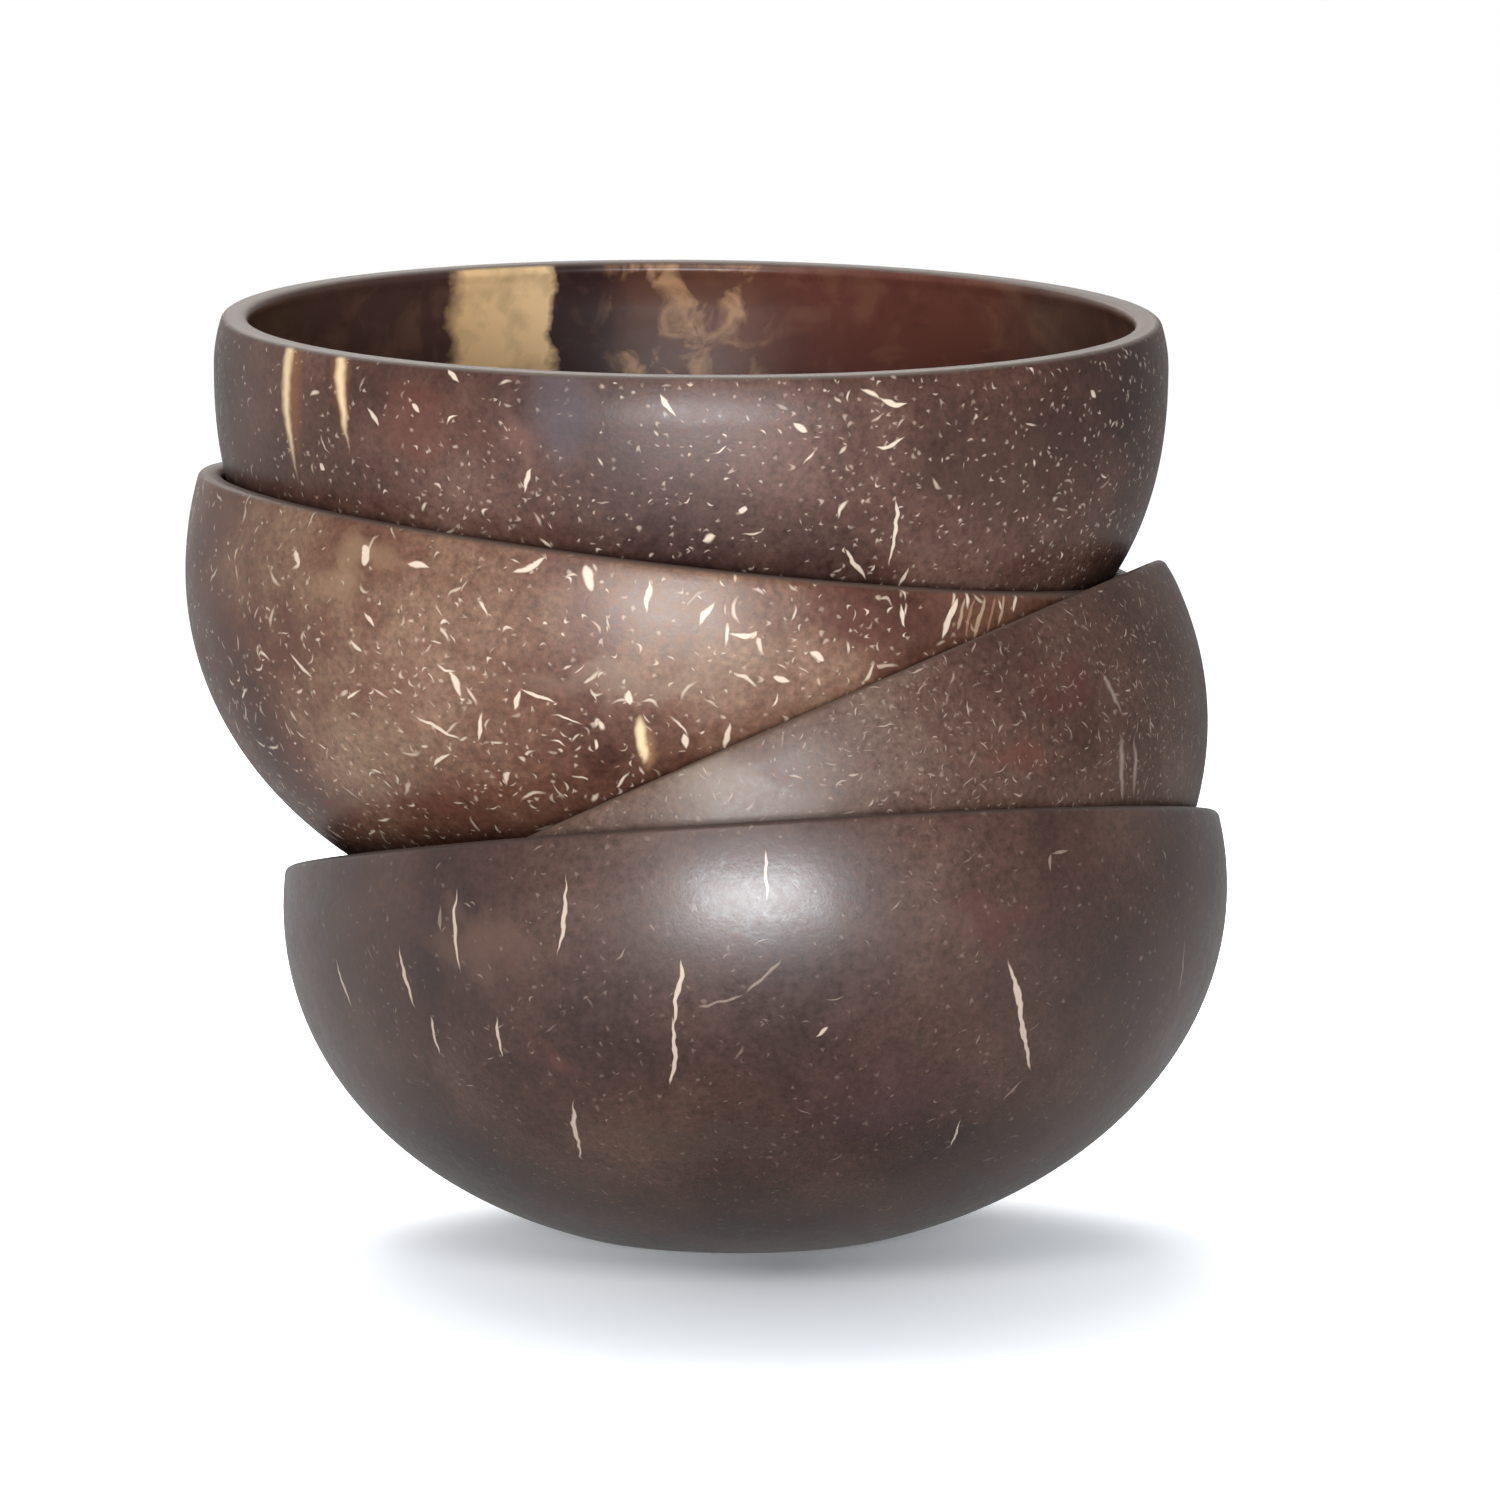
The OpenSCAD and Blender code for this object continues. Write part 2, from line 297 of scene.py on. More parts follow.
def make_bowl(body, ground_level):
    """Builds one bowl as a piece that replaces its CAD node and rides on its body."""
    scene = bpy.context.scene
    node, sizes = body + "_bowl", getattr(scene, body + "_bowl")
    shell = Shell(node, sizes, scene.shells)
    if ground_level:
        up, lift = np.array(shell.turn)[2], shell.place[2]
    else:
        up, lift = np.array([0.0, 0.0, 1.0]), sizes.below - scene.shells.base_cut
    piece = bpy.data.objects.new(body + "_shell", shell.mesh(body + "_shell", up, lift))
    piece.location = shell.place
    scene.collection.objects.link(piece)
    piece.data.materials.append(sanded_shell(body, sizes))
    piece.data.materials.append(scraped_shell(body, sizes))
    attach(piece, body)
    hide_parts(node)


# Materials

MIX = "ShaderNodeMix"
MATH = "ShaderNodeMath"
VECTOR = "ShaderNodeVectorMath"
NOISE = "ShaderNodeTexNoise"
RANGE = "ShaderNodeMapRange"
FACTOR, COLOUR_A, COLOUR_B, MIXED = 0, 6, 7, 2

# A shell's points are drawn onto a ball of this radius for its flecks
BALL_MM = 62

# Sizes in mm of what varies over the outside
PATCH_MM = 24
MOTTLE_MM = 4
GRAIN_MM = 0.9
DRIFT_MM = 8
WANDER_MM = 2.2
SPARSE_MM = 22
PATCH_DRIFT_MM = 16.0
SPECK_GAP, SPECK_LENGTH, SPECK_WIDTH = 1.7 * MM, 0.9 * MM, 0.8 * MM

# A cell holds a fibre where its middle lies within this many gaps of the surface
FIBRE_REACH = 0.34
# Stretches the lots of a cell until their fractions are new ones
MORE_LOTS = 37.3

# The rim's cut edge fades in between these depths under the rim, in mm, and is this rough
EDGE_FROM_MM, EDGE_TO_MM = 0.6, 0.1
EDGE_ROUGHNESS = 0.7
COAT_ROUGHNESS = 0.27


def add(tree, kind, inputs=(), **settings):
    """Adds a node: settings are its own, and inputs maps sockets to values or to what links there."""
    node = tree.nodes.new(kind)
    for name, value in settings.items():
        setattr(node, name, value)
    for socket, value in dict(inputs).items():
        if isinstance(value, bpy.types.Node):
            value = value.outputs[0]
        if isinstance(value, bpy.types.NodeSocket):
            tree.links.new(value, node.inputs[socket])
        else:
            node.inputs[socket].default_value = value
    return node


def cleared_tree(owner):
    """The node tree of a new material or world, with nothing in it."""
    owner.use_nodes = True
    owner.node_tree.nodes.clear()
    return owner.node_tree


def group(name, inputs, outputs):
    """An empty node group with these sockets, its two end nodes with it."""
    tree = bpy.data.node_groups.new(name, "ShaderNodeTree")
    for way, sockets in (("INPUT", inputs), ("OUTPUT", outputs)):
        for socket, kind in sockets.items():
            tree.interface.new_socket(name=socket, in_out=way, socket_type="NodeSocket" + kind)
    return tree, add(tree, "NodeGroupInput"), add(tree, "NodeGroupOutput")


def grouped(name, build):
    """The group of that name, built the first time that it is wanted."""
    return bpy.data.node_groups.get(name) or build(name)


def shell_places(name):
    """Where a point lies on its shell: on a ball in mm, its turn in degrees and its height in mm."""
    tree, given, out = group(name, {"Lean": "Vector"}, {"Ball": "Vector", "Turn": "Float", "Height": "Float"})
    here = add(tree, "ShaderNodeMapping", {
        "Vector": add(tree, "ShaderNodeTexCoord").outputs["Object"], "Rotation": given.outputs["Lean"],
        "Scale": (MM, MM, MM)}, vector_type="TEXTURE")
    ball = add(tree, VECTOR, {0: here}, operation="NORMALIZE")
    ball = add(tree, VECTOR, {0: ball, "Scale": BALL_MM}, operation="SCALE")
    parts = add(tree, "ShaderNodeSeparateXYZ", {0: here})
    turn = add(tree, MATH, {0: parts.outputs["Y"], 1: parts.outputs["X"]}, operation="ARCTAN2")
    turn = add(tree, MATH, {0: turn}, operation="DEGREES")
    tree.links.new(ball.outputs[0], out.inputs["Ball"])
    tree.links.new(turn.outputs[0], out.inputs["Turn"])
    tree.links.new(parts.outputs["Z"], out.inputs["Height"])
    return tree


def short_fibres(name):
    """Flecks: one short, bent fibre in each cell of a ball, turned any way and cut to any length."""
    tree, given, out = group(
        name, {"Ball": "Vector", "Gap": "Float", "Length": "Float", "Width": "Float", "Share": "Float",
               "Patchiness": "Float"}, {"Fibre": "Float"})
    ball, gap = given.outputs["Ball"], given.outputs["Gap"]
    per_gap = add(tree, MATH, {0: 1.0, 1: gap}, operation="DIVIDE")
    cells = add(tree, VECTOR, {0: ball, "Scale": per_gap}, operation="SCALE")
    cell = add(tree, "ShaderNodeTexVoronoi", {"Vector": cells, "Scale": 1.0}, feature="F1")
    middle = add(tree, VECTOR, {0: cell.outputs["Position"], "Scale": gap}, operation="SCALE")
    offset = add(tree, VECTOR, {0: ball, 1: middle}, operation="SUBTRACT")
    # Four lots for each cell: its length, its width, its bend, and whether it holds a fibre at all
    lots = add(tree, "ShaderNodeSeparateColor", {0: cell.outputs["Color"]})
    more = add(tree, VECTOR, {0: cell.outputs["Color"], "Scale": MORE_LOTS}, operation="SCALE")
    more = add(tree, "ShaderNodeSeparateXYZ", {0: add(tree, VECTOR, {0: more}, operation="FRACTION")})
    # The fibre's own way along the surface, and the way across it
    normal = add(tree, VECTOR, {0: ball}, operation="NORMALIZE")
    anyway = add(tree, VECTOR, {0: cell.outputs["Color"], 1: (0.5, 0.5, 0.5)}, operation="SUBTRACT")
    across = add(tree, VECTOR, {0: normal, 1: anyway}, operation="CROSS_PRODUCT")
    across = add(tree, VECTOR, {0: across}, operation="NORMALIZE")
    along = add(tree, VECTOR, {0: across, 1: normal}, operation="CROSS_PRODUCT")
    x = add(tree, VECTOR, {0: offset, 1: along}, operation="DOT_PRODUCT").outputs["Value"]
    y = add(tree, VECTOR, {0: offset, 1: across}, operation="DOT_PRODUCT").outputs["Value"]
    long = add(tree, MATH, {0: more.outputs["X"], 1: 1.4}, operation="POWER")
    long = add(tree, RANGE, {"Value": long, "To Min": 0.16, "To Max": 0.5})
    long = add(tree, MATH, {0: long, 1: given.outputs["Length"]}, operation="MULTIPLY")
    wide = add(tree, RANGE, {"Value": more.outputs["Y"], "To Min": 0.25, "To Max": 0.5})
    wide = add(tree, MATH, {0: wide, 1: given.outputs["Width"]}, operation="MULTIPLY")
    bend = add(tree, RANGE, {"Value": more.outputs["Z"], "To Min": -2.2, "To Max": 2.2})
    reach = add(tree, MATH, {0: x, 1: long}, operation="DIVIDE")
    reach = add(tree, MATH, {0: reach, 1: reach}, operation="MULTIPLY")
    side = add(tree, MATH, {0: y, 1: wide}, operation="DIVIDE")
    side = add(tree, MATH, {0: side, 1: add(tree, MATH, {0: bend, 1: reach}, operation="MULTIPLY")},
               operation="SUBTRACT")
    side = add(tree, MATH, {0: side, 1: side}, operation="MULTIPLY")
    far = add(tree, MATH, {0: add(tree, MATH, {0: reach, 1: side}, operation="ADD")}, operation="SQRT")
    shape = add(tree, RANGE, {"Value": far, "From Min": 1.2, "From Max": 0.3},
                interpolation_type="SMOOTHSTEP")
    # Only cells whose middle lies near the surface hold one, and fewer where the shell is sparse
    deep = add(tree, VECTOR, {0: middle}, operation="LENGTH").outputs["Value"]
    deep = add(tree, MATH, {0: deep, 1: float(BALL_MM)}, operation="SUBTRACT")
    deep = add(tree, MATH, {0: add(tree, MATH, {0: deep}, operation="ABSOLUTE"), 1: gap}, operation="DIVIDE")
    near = add(tree, MATH, {0: deep, 1: FIBRE_REACH}, operation="LESS_THAN")
    patches = add(tree, NOISE, {"Vector": middle, "Scale": 1 / SPARSE_MM, "Detail": 1.0})
    thin = add(tree, RANGE, {"Value": patches, "From Min": 0.38, "From Max": 0.6, "To Min": 1.0,
                             "To Max": 0.0})
    thin = add(tree, MATH, {0: thin, 1: given.outputs["Patchiness"]}, operation="MULTIPLY")
    wanted = add(tree, MATH, {0: given.outputs["Share"], 1: thin}, operation="SUBTRACT")
    held = add(tree, MATH, {0: lots.outputs[0], 1: wanted}, operation="LESS_THAN")
    held = add(tree, MATH, {0: held, 1: near}, operation="MULTIPLY")
    # Some are cut deeper than others and show paler
    fade = add(tree, RANGE, {"Value": lots.outputs[1], "To Min": 0.3, "To Max": 1.0})
    shape = add(tree, MATH, {0: shape, 1: fade}, operation="MULTIPLY")
    fibre = add(tree, MATH, {0: shape, 1: held}, operation="MULTIPLY")
    tree.links.new(fibre.outputs[0], out.inputs["Fibre"])
    return tree


def mark(name):
    """One streak, spot or patch. Along and Across are its two ways, each over half its size."""
    tree, given, out = group(
        name, {"Ball": "Vector", "Outward": "Vector", "Along": "Vector", "Across": "Vector", "Bend": "Float",
               "Taper": "Float", "Sharpness": "Float"}, {"Mark": "Float"})
    ball = given.outputs["Ball"]
    faces = add(tree, VECTOR, {0: ball, 1: given.outputs["Outward"]}, operation="DOT_PRODUCT")
    faces = add(tree, MATH, {0: faces.outputs["Value"], 1: 0.0}, operation="GREATER_THAN")
    u = add(tree, VECTOR, {0: ball, 1: given.outputs["Along"]}, operation="DOT_PRODUCT").outputs["Value"]
    u = add(tree, MATH, {0: u}, operation="ABSOLUTE")
    v = add(tree, VECTOR, {0: ball, 1: given.outputs["Across"]}, operation="DOT_PRODUCT").outputs["Value"]
    bulge = add(tree, MATH, {0: 1.0, 1: add(tree, MATH, {0: u, 1: u}, operation="MULTIPLY")},
                operation="SUBTRACT")
    bulge = add(tree, MATH, {0: bulge, 1: given.outputs["Bend"]}, operation="MULTIPLY")
    v = add(tree, MATH, {0: v, 1: bulge}, operation="SUBTRACT")
    v = add(tree, MATH, {0: v}, operation="ABSOLUTE")
    blunt = add(tree, MATH, {0: given.outputs["Taper"], 1: 0.5}, operation="MULTIPLY")
    v = add(tree, MATH, {0: v, 1: blunt}, operation="POWER")
    u = add(tree, MATH, {0: u, 1: given.outputs["Taper"]}, operation="POWER")
    far = add(tree, MATH, {0: u, 1: v}, operation="ADD")
    shape = add(tree, RANGE, {"Value": far, "From Min": 1.1, "From Max": given.outputs["Sharpness"]},
                interpolation_type="SMOOTHSTEP")
    shape = add(tree, MATH, {0: shape, 1: faces}, operation="MULTIPLY")
    tree.links.new(shape.outputs[0], out.inputs["Mark"])
    return tree


# Tones of the marks, and how strongly each shows. The ash tone is also painted sheen where it lies at the
# front of the second bowl
MARK_TONES = {
    "brown": ("#5c4032", 0.6), "umber": ("#413026", 0.6), "russet": ("#5c332a", 0.5),
    "russet dark": ("#4b2721", 0.6), "rose": ("#6b4a42", 0.5), "plum": ("#41252a", 0.5),
    # The olive tone is also painted sheen where it lies at the front of the third bowl
    "slate": ("#4a4146", 0.6), "olive and painted sheen": ("#7c6858", 0.5), "ash and painted sheen": ("#7d6e61", 0.55), "tan": ("#8c7056", 0.55),
    "amber": ("#946f4c", 0.65), "sand": ("#b39878", 0.6), "amber dark": ("#7f5230", 0.65),
    "honey": ("#dabe95", 0.95), "cream": ("#d0bca7", 0.85), "fibre": ("#bfa995", 0.85),
    "faint": ("#a08a7c", 0.45), "haze": ("#a08c80", 0.55)}

# Broad soft patches of each bowl: degrees round it from the right and up it from its widest section, length
# and width in mm, degrees that it turns from straight down, and tone
PATCHES = {
    "bottom": (
        (-122.6, -5.3, 10.4, 22.54, -10, "brown"), (-99.8, -32.3, 11.7, 33.32, -11, "umber"),
        (-115.2, -18.6, 10.1, 8.51, -15, "russet"), (-73.2, -27.2, 15.2, 27.50, 10, "plum"),
        (-61.7, -6.4, 8.4, 18.91, 2, "russet dark"), (-146.1, 2.6, 5.3, 10.93, 16, "plum"),
        (66, -34, 20.0, 31.00, 12, "umber"), (128, -14, 16.0, 26.00, -8, "plum"),
    ),
    "second": (
        # The pale patch at the front of the second bowl is painted sheen as well as a paler tone of the shell
        (-92.4, -0.0, 12.3, 42.72, -49, "ash and painted sheen"), (-45.9, -5.4, 9.3, 16.59, -26, "russet dark"),
        (-56.3, -12.1, 6.7, 11.61, -32, "russet"), (-28.8, -9.1, 10.7, 7.60, -20, "umber"),
        (64, -21, 16.0, 22.00, -14, "umber"), (121, -12, 11.0, 34.00, 9, "ash and painted sheen"),
    ),
    "third": (
        (-128.6, 1.8, 8.5, 23.98, 21, "tan"), (-121.5, -11.7, 15.1, 17.88, 3, "russet"),
        # The olive patch at the front of the third bowl is painted sheen as well as an olive tone of the
        # shell
        (-138.8, -8.7, 15.8, 13.81, 14, "russet dark"), (-93.4, -7.5, 8.1, 33.46, 6, "olive and painted sheen"),
        (-66.8, 3.2, 9.1, 33.18, -3, "russet dark"), (-121.0, -29.5, 7.4, 26.71, 6, "russet"),
        (-14, -12, 12.0, 24.00, 9, "russet"), (28, 0, 9.0, 28.00, -5, "olive and painted sheen"),
        (83, -17, 14.0, 22.00, 12, "russet"), (146, -8, 11.0, 30.00, 6, "tan"),
    ),
    "top": (
        (-125.0, -1.1, 12.2, 25.12, 9, "russet"), (-111.2, -0.7, 13.7, 9.43, 5, "rose"),
        (-45.9, -6.8, 13.8, 36.35, 6, "umber"), (-4, -6, 13.0, 26.00, 7, "russet"),
        (126, -9, 15.0, 30.00, 9, "russet"),
    ),
}
PATCH_SHAPE = (0, 2, 0)

# Streaks and spots: the same five numbers, then bend, taper, sharpness and tone
MARKS = {
    "bottom": (
        (-125.2, -3.3, 10.6, 0.65, -7, -1.5, 2, 0.5, "fibre"),
        (-111.3, -2.4, 10.3, 0.64, -13, 0.9, 2, 0.5, "fibre"),
        (-134.9, -8.1, 8.4, 0.60, 3, -0.6, 2, 0.5, "fibre"),
        (-148.9, -8.2, 6.7, 0.61, 9, 0, 2, 0.5, "fibre"),
        (-132.9, -15.3, 5.9, 0.61, -12, -0.8, 2, 0.5, "fibre"),
        (-122.7, -15.8, 5.6, 0.61, -14, 0, 2, 0.5, "fibre"),
        (-99.3, -11.9, 8.6, 0.59, -13, 0.8, 3, 0.5, "fibre"),
        (-101.1, -18.9, 9.5, 0.60, -11, 1.9, 3, 0.5, "fibre"),
        (-56.7, -17.5, 17.8, 0.79, 26, -0.9, 3, 0.5, "fibre"),
        (-117.4, -29.9, 12.1, 0.64, -19, -1.0, 2, 0.5, "fibre"),
        (-61.0, -34.1, 5.9, 0.52, 8, 0, 2, 0.5, "fibre"), (-88.5, 0.5, 5.8, 0.46, -1, 0, 3, 0.5, "fibre"),
        (-89.3, -10.5, 5.9, 0.41, -49, 0, 3, 0.3, "faint"),
        (-94.1, -13.0, 5.8, 0.41, -76, 0, 3, 0.3, "faint"),
        (-54.9, 0.3, 2.4, 0.59, 160, 0, 2, 0.5, "faint"), (-53.1, 1.4, 3.1, 0.48, 93, 0, 2, 0.5, "faint"),
        (-127.6, -1.8, 3.2, 0.59, -7, 0, 2, 0.5, "faint"),
        (-25.9, -12.6, 8.8, 0.50, 24, 0, 2, 0.5, "faint"),
        (-82.9, -17.4, 2.1, 0.60, 136, 0, 2, 0.5, "fibre"),
        (-54.4, -27.3, 4.7, 0.45, 149, 0, 2, 0.3, "faint"), (12, -9, 9.0, 0.60, 9, 0.8, 2, 0.5, "fibre"),
        (31, -22, 12.5, 0.70, -12, -0.9, 3, 0.5, "fibre"), (52, -6, 7.5, 0.55, 16, 0, 2, 0.5, "faint"),
        (74, -14, 14.0, 0.75, 4, 1.2, 3, 0.5, "fibre"), (96, -3, 8.0, 0.60, -18, 0, 2, 0.5, "fibre"),
        (118, -27, 10.5, 0.60, 14, -1.0, 2, 0.5, "fibre"), (137, -11, 16.0, 0.80, -6, 0.9, 3, 0.5, "fibre"),
        (159, -19, 7.0, 0.50, 22, 0, 2, 0.5, "faint"), (178, -7, 11.0, 0.65, -9, -0.7, 2, 0.5, "fibre"),
    ),
    "second": (
        (-38.2, -17.9, 10.4, 1.55, -3, 0, 2, 0, "haze"), (-35.2, -18.4, 9.4, 1.29, -6, 0, 2, 0, "haze"),
        (-30.7, -14.4, 3.4, 0.64, -5, 0, 2, 0.2, "haze"), (-37.6, -8.6, 7.3, 1.27, 15, 0, 2, 0, "haze"),
        (8, -16, 8.0, 1.10, 12, 0, 2, 0, "haze"), (152, -24, 9.0, 1.20, -8, 0, 2, 0, "haze"),
    ),
    "third": (
        (-89.1, -15.2, 8.2, 3.38, 10, 0, 2, 0, "amber"), (-89.9, -14.2, 7.5, 1.94, 10, 0, 3, 0, "honey"),
        (-98.7, 4.8, 3.9, 1.41, 14, 0, 3, 0.3, "cream"), (-127.9, 3.3, 3.1, 1.26, 12, 0, 3, 0.5, "cream"),
        (-91.3, 3.6, 4.7, 0.77, 1, 0, 2, 0.5, "cream"), (-52.9, 4.2, 6.1, 1.01, -19, 0, 3, 0.5, "cream"),
        (-51.1, 4.7, 4.8, 0.76, -15, 0, 3, 0.3, "sand"), (-49.9, 4.3, 5.9, 0.50, -13, 0, 3, 0.3, "amber"),
        (-48.3, 4.4, 6.0, 0.76, -14, 0, 3, 0.3, "sand"), (-46.6, 4.7, 5.4, 0.50, -12, 0, 3, 0.3, "amber"),
        (-44.8, 5.4, 4.3, 0.63, -15, 0, 3, 0.3, "sand"), (-42.7, 6.2, 2.4, 0.63, -19, 0, 3, 0.3, "cream"),
        (-59.5, 4.2, 3.4, 0.64, 17, 0, 2, 0.5, "cream"), (-137.7, -11.6, 5.0, 0.63, 53, 0, 2, 0.5, "cream"),
        (-103.4, -10.2, 5.1, 0.64, 76, 0, 2, 0.5, "cream"),
        (-105.9, -11.1, 3.1, 0.77, -13, 0, 2, 0.5, "cream"),
        (-114.1, -10.1, 3.7, 1.03, 26, 0, 2, 0.5, "cream"),
        (-110.8, -15.2, 4.3, 0.78, -11, 0, 2, 0.5, "cream"),
        (-116.7, -16.3, 7.1, 0.65, 74, -0.3, 2, 0.5, "cream"),
        (-79.5, 0.8, 3.8, 0.77, 102, -1.5, 2, 0.5, "cream"),
        (-84.0, 2.4, 3.6, 0.90, -31, 0, 2, 0.5, "cream"), (-79.7, -12.4, 4.0, 1.03, 2, 0, 2, 0.5, "cream"),
        (-106.2, 5.5, 4.7, 1.15, 118, -0.6, 2, 0.5, "cream"),
        (-74.0, -4.6, 2.4, 0.90, 79, 0, 2, 0.5, "cream"), (-70.1, -1.5, 2.5, 1.15, 56, 0, 2, 0.5, "cream"),
        (-120.4, 3.4, 3.6, 1.14, 88, 0, 2, 0.5, "cream"), (-139.0, 1.3, 2.2, 1.13, 32, 0, 2, 0.5, "cream"),
        (-128.2, -7.7, 2.4, 0.76, 62, 0, 2, 0.5, "cream"),
        (-126.3, -4.2, 2.6, 0.76, 46, 0, 2, 0.5, "cream"), (-92.1, -9.0, 2.3, 1.16, 12, 0, 2, 0.5, "cream"),
        (-84.7, -13.5, 2.2, 1.04, 15, 0, 2, 0.5, "cream"),
        (-116.8, -20.8, 4.1, 0.65, 131, 0.8, 2, 0.5, "cream"), (22, -7, 5.0, 1.30, 18, 0, 3, 0.4, "cream"),
        (61, -3, 6.0, 1.80, -9, 0.4, 3, 0.2, "honey"), (104, -13, 5.5, 0.90, 31, 0.8, 2, 0.5, "cream"),
        (133, 1, 4.5, 1.20, -14, 0, 3, 0.4, "cream"), (171, -10, 5.0, 1.00, 44, -0.6, 2, 0.5, "cream"),
    ),
    "top": (
        (-106.6, 5.0, 25.0, 11.37, 4, 0, 3, 0, "slate"),
        (-146.8, 4.4, 29.7, 5.61, 7, -0.2, 2, 0, "amber dark"),
        (-138.2, 5.0, 22.5, 4.40, 12, -0.2, 2, 0, "amber dark"),
        (-148.2, 4.1, 32.7, 2.67, 7, -0.3, 2, 0.1, "honey"),
        (-138.2, 5.0, 24.5, 2.33, 10, -0.3, 2, 0.1, "honey"),
        (-62.5, -13.8, 10.0, 0.60, -0, 0.5, 3, 0.4, "cream"),
        (-67.2, -17.8, 6.4, 0.67, 37, -0.4, 2, 0.5, "cream"),
        (-60.1, -20.1, 3.3, 0.66, -20, 0, 2, 0.5, "cream"), (-66.5, 4.2, 3.5, 0.81, 60, 0, 2, 0.3, "cream"),
        (-63.4, 3.3, 4.5, 0.81, 77, -1.2, 2, 0.5, "cream"), (-92.6, 3.1, 4.1, 0.82, 35, 0, 2, 0.5, "cream"),
        (-63.7, -2.2, 4.3, 0.67, 110, -1.2, 2, 0.5, "cream"),
        (-110.6, -7.1, 3.9, 0.67, -17, -0.5, 2, 0.5, "cream"),
        (-75.7, 0.3, 2.5, 0.95, 58, 0, 2, 0.5, "cream"), (-87.0, -14.1, 2.0, 1.35, 111, 0, 2, 0.3, "cream"),
        (-82.9, -10.4, 1.3, 0.95, 77, 0, 2, 0.5, "cream"), (-31.8, 1.1, 1.7, 1.02, 47, 0, 2, 0.5, "cream"),
        (-121.2, 5.6, 2.9, 0.81, 47, 0, 2, 0.5, "cream"), (-141.5, -7.8, 1.4, 1.02, 47, 0, 2, 0.5, "cream"),
        (-132.4, -0.6, 3.0, 0.78, 38, 0, 2, 0.5, "cream"), (-126.0, 0.9, 1.6, 1.06, 53, 0, 2, 0.5, "cream"),
        (58, 0, 14.0, 22.00, -6, 0, 2, 0, "slate"), (19, -4, 8.0, 0.90, -12, 0.6, 3, 0.4, "cream"),
        (49, 3, 4.0, 0.90, 38, 0, 2, 0.5, "cream"), (88, -8, 9.0, 1.00, 10, -0.5, 3, 0.4, "cream"),
        (112, 2, 4.5, 1.10, 66, 0, 2, 0.5, "cream"), (149, -5, 6.5, 0.80, -21, 0.9, 2, 0.5, "cream"),
        (174, 1, 3.5, 1.00, 28, 0, 2, 0.5, "cream"),
    ),
}


def mark_ways(turn, rise, long, wide, lie):
    """The way out of the ball at a mark, and its ways along and across, each over half its size."""
    t, r, a = math.radians(turn), math.radians(rise), math.radians(lie)
    outward = Vector((math.cos(r) * math.cos(t), math.cos(r) * math.sin(t), math.sin(r)))
    down = Vector((math.sin(r) * math.cos(t), math.sin(r) * math.sin(t), -math.cos(r)))
    along = down * math.cos(a) + Vector((-math.sin(t), math.cos(t), 0)) * math.sin(a)
    return {"Outward": outward, "Along": along * 2 / long, "Across": outward.cross(along) * 2 / wide}


def put_marks(tree, base, marks, where):
    """The base colour with these marks laid over it, one after the other."""
    for turn, rise, long, wide, lie, bend, taper, sharpness, kind in marks:
        tone, strength = MARK_TONES[kind]
        spot = add(tree, "ShaderNodeGroup", {
            "Ball": where, "Bend": bend, "Taper": taper, "Sharpness": sharpness,
            **mark_ways(turn, rise, long, wide, lie)}, node_tree=grouped("Mark", mark))
        spot = add(tree, MATH, {0: spot, 1: strength}, operation="MULTIPLY")
        base = add(tree, MIX, {FACTOR: spot, COLOUR_A: base, COLOUR_B: (*linear(tone), 1)},
                   data_type="RGBA").outputs[MIXED]
    return base


def cut_edge(tree, places, sizes, base):
    """Where the cut edge of the rim lies, and the base colour with the edge's tone on it."""
    edge = add(tree, RANGE, {"Value": places.outputs["Height"], "From Min": sizes.above / MM - EDGE_FROM_MM,
                             "From Max": sizes.above / MM - EDGE_TO_MM}, interpolation_type="SMOOTHSTEP")
    return edge, add(tree, MIX, {FACTOR: edge, COLOUR_A: base, COLOUR_B: (*sizes.rim, 1)},
                     data_type="RGBA").outputs[MIXED]


def shell_material(label, body, sizes):
    """A new material of one bowl: itself, its tree, its places and a seed of the bowl's own."""
    material = bpy.data.materials.new(label + ", " + body)
    tree = cleared_tree(material)
    places = add(tree, "ShaderNodeGroup", {"Lean": (sizes.tip, sizes.lean, 0)},
                 node_tree=grouped("Places on a shell", shell_places))
    return material, tree, places, 10.0 * BOWLS.index(body)


